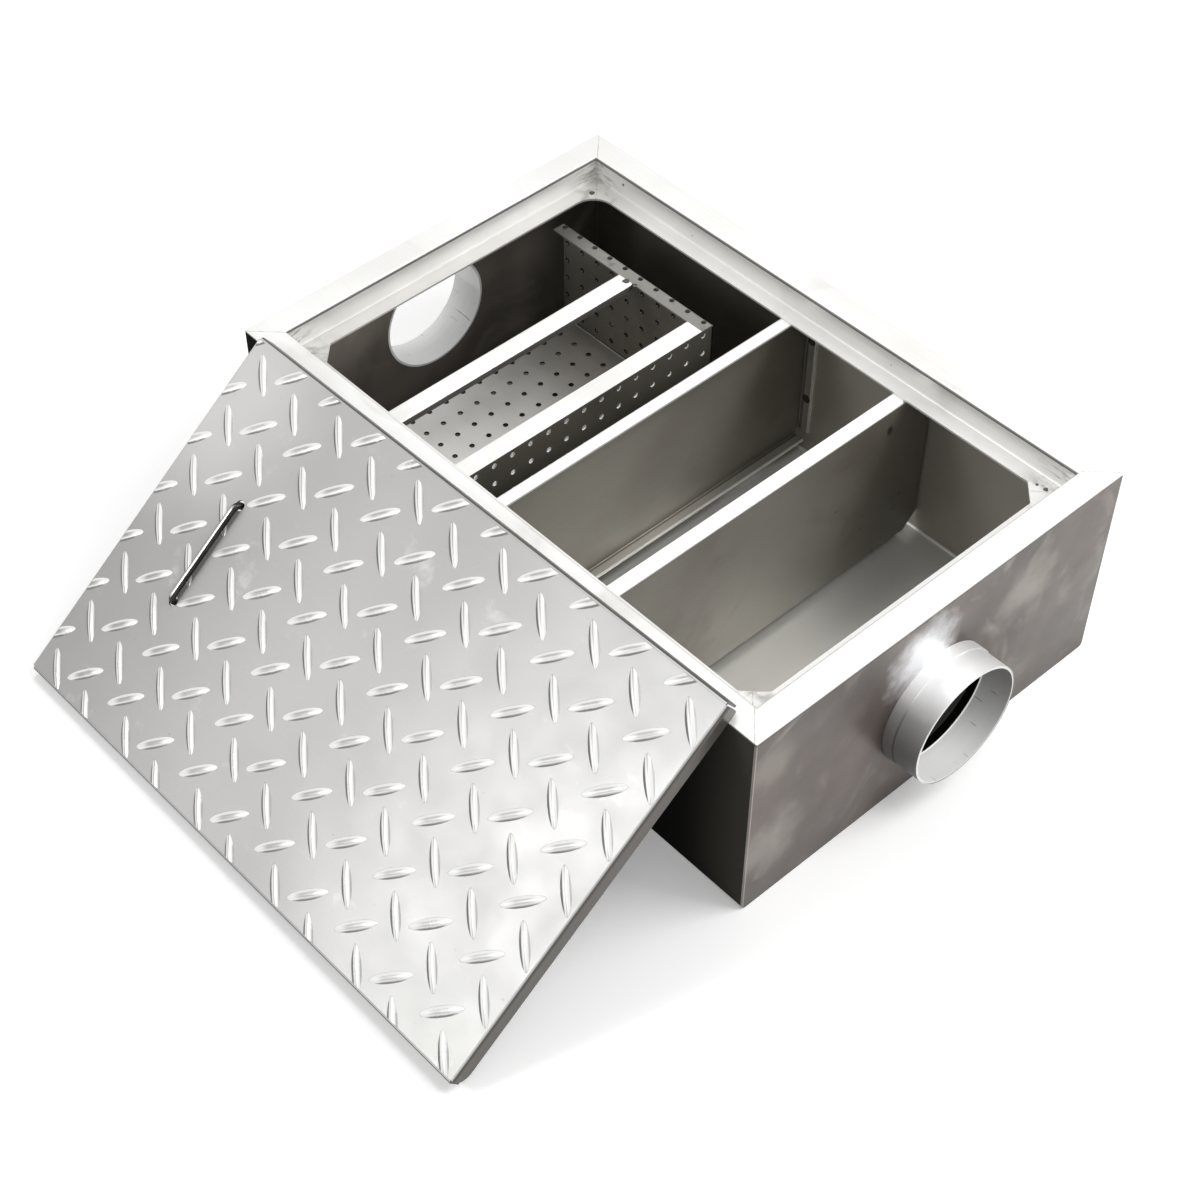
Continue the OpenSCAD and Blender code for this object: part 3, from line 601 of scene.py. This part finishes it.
def tread_steel():
    """Lid: satin plate with painted light towards one side and painted shade towards the other,
    bars with painted highlights on their flanks and painted shade at their foot.
    """
    finish = sheet_finish(
        "tread_steel", tone(175, 174, 173), tone(167, 166, 165), 0.35, 0.36, "X", 4.0, 0.012
    )
    rise = finish.along(LID_NORMAL, LID_EDGE)
    across = finish.along(LID_ALONG, LID_EDGE)
    down = finish.along(LID_DOWN, LID_EDGE)
    # Painted shade towards the inlet end and down the lid; painted light towards the outlet end and
    # its foot.
    dim_side = finish.spread(across, -60 * MM, -LID_HALF)
    dim_foot = finish.spread(down, 60 * MM, 0.7 * LID_LENGTH)
    finish.tint(finish.both(dim_side, dim_foot), tone(146, 145, 142), 0.6)
    bright_side = finish.spread(across, 0.0, LID_HALF)
    finish.tint(bright_side, tone(196, 196, 194), 0.4)
    bright_foot = finish.spread(down, 0.6 * LID_LENGTH, LID_LENGTH)
    finish.tint(finish.both(bright_side, bright_foot), tone(198, 198, 195), 0.5)
    # Painted light: a pale patch near the upper corner at the inlet end.
    corner = tuple(Vector(LID_EDGE) - LID_HALF * Vector(LID_ALONG) + 40 * MM * Vector(LID_DOWN))
    finish.tint(finish.spot(corner, 20 * MM, 150 * MM), tone(208, 207, 206), 0.85)
    scuffs = finish.noise(26.0, detail=5.0, rough=0.65)
    finish.tint(finish.spread(scuffs, 0.60, 0.76, 0.0, 0.3), tone(230, 230, 228))
    pits = finish.noise(190.0, detail=2.0, bend=0.5)
    finish.tint(finish.spread(pits, 0.72, 0.80, 0.0, 0.45), tone(132, 130, 125))
    on_bar = finish.spread(rise, LID_FACE + 0.02 * MM, LID_FACE + 0.15 * MM)
    upright = finish.facing(UPRIGHT_ACROSS)
    lying = finish.facing(LYING_ACROSS)
    # Painted highlights on the flanks of the bars.
    upright_highlight = finish.spread(finish.calc("ABSOLUTE", upright), 0.03, 0.12)
    finish.tint(finish.both(on_bar, upright_highlight), tone(240, 240, 239), 0.85)
    lying_highlight = finish.spread(finish.calc("ABSOLUTE", lying), 0.16, 0.34)
    finish.tint(finish.both(on_bar, lying_highlight), tone(240, 240, 239), 0.85)
    # Painted shade at the foot of the bars, on their left, right and lower sides.
    left_foot_shade = finish.spread(upright, -0.24, -0.36)
    finish.tint(finish.both(on_bar, left_foot_shade), tone(78, 76, 72), 0.9)
    right_foot_shade = finish.spread(upright, 0.40, 0.52)
    finish.tint(finish.both(on_bar, right_foot_shade), tone(128, 126, 122), 0.7)
    lower_foot_shade = finish.spread(lying, 0.34, 0.48)
    finish.tint(finish.both(on_bar, lower_foot_shade), tone(96, 94, 90), 0.85)
    off_bar = finish.calc("SUBTRACT", 1.0, on_bar)
    # Painted shade on the lid's folded edges.
    folded = finish.spread(finish.facing(LID_NORMAL), 0.78, 0.92, 1.0, 0.0)
    finish.tint(finish.both(folded, off_bar), tone(58, 56, 52), 0.92)
    side = finish.spread(across, LID_HALF - 1.2 * MM, LID_HALF - 0.5 * MM)
    finish.tint(side, tone(88, 84, 79))
    return finish.done()


def handle_steel():
    """Handle rod and its washers: dark drawn steel with one painted highlight line on top."""
    finish = sheet_finish("handle_steel", tone(64, 62, 59), tone(42, 40, 37), 0.9, 0.24, "Y", 40.0)
    # Painted highlight: a pale line along the top of the rod.
    crown = finish.spread(finish.facing(LID_NORMAL), 0.84, 0.98)
    finish.tint(crown, tone(214, 214, 212), 0.85)
    return finish.done()


def weld_metal():
    """Plug welds and tacks: dark and clouded, grey to brown."""
    finish = sheet_finish("weld_metal", tone(92, 86, 82), tone(56, 48, 44), 0.7, 0.45, "X", 220.0)
    return finish.done()


FRAME_STEEL = frame_steel()
STRIP_STEEL = strip_steel()
OUTLET_WALL_STEEL = outlet_wall_steel()
TANK_STEEL = tank_steel()
BAFFLE_STEEL = baffle_steel()
BASKET_STEEL = basket_steel()
STUB_STEEL = stub_steel()
TREAD_STEEL = tread_steel()
HANDLE_STEEL = handle_steel()
WELD_METAL = weld_metal()

FINISH_OF = {
    "tank_shell": TANK_STEEL,
    "inlet_end_wall": TANK_STEEL,
    "outlet_end_wall": OUTLET_WALL_STEEL,
    "front_frame": FRAME_STEEL,
    "back_frame": FRAME_STEEL,
    "inlet_frame": FRAME_STEEL,
    "outlet_frame": FRAME_STEEL,
    "inlet_pipe": STUB_STEEL,
    "inlet_collar": STUB_STEEL,
    "outlet_pipe": STUB_STEEL,
    "outlet_collar": STUB_STEEL,
    "first_baffle": BAFFLE_STEEL,
    "first_baffle_welds": WELD_METAL,
    "second_baffle": BAFFLE_STEEL,
    "basket": BASKET_STEEL,
    "basket_outlet_rim": STRIP_STEEL,
    "carry_bar": STRIP_STEEL,
    "inlet_side_rail": TANK_STEEL,
    "outlet_side_rail": TANK_STEEL,
    "lid": TREAD_STEEL,
    "lid_handle": HANDLE_STEEL,
    "handle_stops": HANDLE_STEEL,
}
for node_name, steel in FINISH_OF.items():
    mesh = NODES[node_name].data
    mesh.materials.clear()
    mesh.materials.append(steel)


# Weld tacks

TACK_RINGS = 9
TACK_STEPS = 20
TACK_SINK = 0.3 * MM

# Ripples of a tack, as shares of its radius and height
THREE_WAVES = 0.10
FIVE_WAVES = 0.05
CROWN_WAVES = 0.12

# Name, place in mm, radius and height in mm, and turn of the ripples in radians
TACKS = (
    ("carry_bar_tack", (-152.1, 97.9, 174.6), 3.2, 1.3, 0.4),
    ("carry_bar_side_tack", (-143.0, 99.5, 174.6), 2.4, 1.0, 1.9),
    ("inlet_ledge_tack", (-261.5, 158.0, 177.0), 2.6, 0.9, 2.6),
    ("outlet_ledge_tack", (258.3, 163.4, 177.0), 2.0, 0.8, 0.9),
    ("outlet_ledge_small_tack", (250.2, 162.6, 177.0), 1.4, 0.6, 3.3),
)


def closed_rings(name, rings, first_pole, last_pole):
    """A closed mesh from rows of ring points: neighbouring rows joined by quads, and each
    end row joined to its pole by triangles."""
    rows, steps, _ = rings.shape
    points = np.concatenate([rings.reshape(-1, 3), [first_pole, last_pole]])
    here = np.arange(steps)
    after = np.roll(here, -1)
    row = np.arange(rows - 1)[:, None] * steps
    quads = np.stack([row + here, row + after, row + steps + after, row + steps + here], -1)
    last_row = (rows - 1) * steps
    first_fan = np.stack([np.full(steps, rows * steps), after, here], -1)
    last_fan = np.stack([np.full(steps, rows * steps + 1), last_row + here, last_row + after], -1)
    faces = [*quads.reshape(-1, 4).tolist(), *first_fan.tolist(), *last_fan.tolist()]
    return mesh_piece(name, points, faces)


def mesh_piece(name, points, faces):
    """A smooth piece of weld metal that rides on the trap."""
    mesh = bpy.data.meshes.new(name)
    mesh.from_pydata(points.tolist(), [], faces)
    mesh.polygons.foreach_set("use_smooth", np.ones(len(mesh.polygons), dtype=bool))
    mesh.materials.append(WELD_METAL)
    piece = bpy.data.objects.new(name, mesh)
    bpy.context.scene.collection.objects.link(piece)
    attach(piece, "trap")
    return piece


def weld_tack(name, place, radius, height, turn):
    """A tack: a cap whose height follows the cosine of the angle from its crown, over a
    shallow sunk underside. Three and five waves round it ripple its outline, and waves
    along its X ripple its height."""
    polar = np.linspace(0, math.pi, TACK_RINGS + 2)[1:-1, None]
    round_about = np.linspace(0, 2 * math.pi, TACK_STEPS, endpoint=False)[None, :]
    three = THREE_WAVES * np.cos(3 * round_about + turn)
    five = FIVE_WAVES * np.sin(5 * round_about)
    outline = radius * (1 + three + five)
    x = outline * np.sin(polar) * np.cos(round_about)
    y = outline * np.sin(polar) * np.sin(round_about)
    lift = np.where(np.cos(polar) > 0, height, TACK_SINK) * np.cos(polar)
    z = lift * (1 + CROWN_WAVES * np.cos(5 * x / radius + turn))
    rings = np.stack([x, y, z], -1) + np.array(place)
    crown = np.array(place) + [0, 0, height * (1 + CROWN_WAVES * math.cos(turn))]
    return closed_rings(name, rings, crown, np.array(place) - [0, 0, TACK_SINK])


for tack_name, tack_place, tack_radius, tack_height, tack_turn in TACKS:
    tack_centre = [part * MM for part in tack_place]
    weld_tack(tack_name, tack_centre, tack_radius * MM, tack_height * MM, tack_turn)


# Floor, light and camera


def seen_or_mirrored(tree):
    """1 for what the camera, a mirror or glass sees, 0 for what lights the object."""
    path = tree.nodes.new("ShaderNodeLightPath")
    total = None
    for ray in ("Is Camera Ray", "Is Glossy Ray", "Is Transmission Ray"):
        if total is None:
            total = path.outputs[ray]
            continue
        most = tree.nodes.new("ShaderNodeMath")
        most.operation = "MAXIMUM"
        tree.links.new(total, most.inputs[0])
        tree.links.new(path.outputs[ray], most.inputs[1])
        total = most.outputs[0]
    return total


SKY_LIGHT = 0.45
FLOOR_TONE = tone(250, 250, 250)
FLOOR_HALF = 6.0
FLOOR_Z = -0.2 * MM

# The floor's own glow by distance from the origin: from, to, glow there and there
FLOOR_FADE = (1.0, 2.6, 0.24, 1.0)


def set_world():
    """White where it is seen, a plain soft light elsewhere."""
    world = bpy.data.worlds.new("studio")
    bpy.context.scene.world = world
    world.use_nodes = True
    tree = world.node_tree
    strength = tree.nodes.new("ShaderNodeMapRange")
    tree.links.new(seen_or_mirrored(tree), strength.inputs["Value"])
    strength.inputs["To Min"].default_value = SKY_LIGHT
    strength.inputs["To Max"].default_value = 1.0
    ground = tree.nodes["Background"]
    ground.inputs["Color"].default_value = (1, 1, 1, 1)
    tree.links.new(strength.outputs[0], ground.inputs["Strength"])


def lay_floor():
    """A plain pale floor that keeps the shadow; its own glow shows only when it is seen, and
    grows with the distance from the trap, where the lamps no longer reach."""
    half = FLOOR_HALF
    corners = [(-half, -half), (half, -half), (half, half), (-half, half)]
    mesh = bpy.data.meshes.new("studio_floor")
    mesh.from_pydata([(x, y, FLOOR_Z) for x, y in corners], [], [(0, 1, 2, 3)])
    floor = bpy.data.objects.new("studio_floor", mesh)
    bpy.context.scene.collection.objects.link(floor)
    material = bpy.data.materials.new("studio_floor")
    material.use_nodes = True
    tree = material.node_tree
    shader = tree.nodes["Principled BSDF"]
    shader.inputs["Base Color"].default_value = FLOOR_TONE
    shader.inputs["Roughness"].default_value = 1.0
    shader.inputs["Specular IOR Level"].default_value = 0.0
    shader.inputs["Emission Color"].default_value = (1, 1, 1, 1)
    glow = tree.nodes.new("ShaderNodeMath")
    glow.operation = "MULTIPLY"
    tree.links.new(seen_or_mirrored(tree), glow.inputs[0])
    far = tree.nodes.new("ShaderNodeVectorMath")
    far.operation = "LENGTH"
    tree.links.new(tree.nodes.new("ShaderNodeTexCoord").outputs["Object"], far.inputs[0])
    fade = tree.nodes.new("ShaderNodeMapRange")
    tree.links.new(far.outputs["Value"], fade.inputs["Value"])
    for socket, value in zip(("From Min", "From Max", "To Min", "To Max"), FLOOR_FADE):
        fade.inputs[socket].default_value = value
    tree.links.new(fade.outputs[0], glow.inputs[1])
    tree.links.new(glow.outputs[0], shader.inputs["Emission Strength"])
    mesh.materials.append(material)


def soft_box(name, place, aim, size, power):
    """A square area lamp at a place, turned towards a point."""
    lamp = bpy.data.lights.new(name, "AREA")
    lamp.shape = "SQUARE"
    lamp.size = size
    lamp.energy = power
    holder = bpy.data.objects.new(name, lamp)
    bpy.context.scene.collection.objects.link(holder)
    holder.location = place
    holder.rotation_euler = (Vector(aim) - Vector(place)).to_track_quat("-Z", "Y").to_euler()


def set_camera():
    """The photograph's viewpoint: turned by heading, tilted up from straight down, rolled."""
    lens = bpy.data.cameras.new("camera")
    lens.lens = CAMERA_LENS
    lens.sensor_width = CAMERA_SENSOR
    lens.shift_x, lens.shift_y = CAMERA_SHIFT
    camera = bpy.data.objects.new("camera", lens)
    bpy.context.scene.collection.objects.link(camera)
    camera.matrix_world = (
        Matrix.Translation(CAMERA_PLACE)
        @ Matrix.Rotation(CAMERA_HEADING, 4, "Z")
        @ Matrix.Rotation(CAMERA_TILT, 4, "X")
        @ Matrix.Rotation(CAMERA_ROLL, 4, "Z")
    )
    bpy.context.scene.camera = camera


# Name, place, aim, side and power of each lamp
LAMPS = (
    ("key_box", (1.25, 1.0, 1.75), (0.0, 0.0, 0.05), 1.2, 27.0),
    ("overhead_box", (-0.46, 0.12, 2.0), (0.1, 0.0, 0.1), 0.45, 8.5),
    ("outlet_box", (0.8, -0.12, 1.7), (0.32, 0.0, 0.13), 0.4, 2.6),
    ("front_box", (-0.6, -1.75, 1.38), (0.2, -0.35, 0.1), 0.6, 10.0),
)

set_world()
lay_floor()
for lamp in LAMPS:
    soft_box(*lamp)
set_camera()
bpy.context.scene.view_settings.view_transform = "Standard"
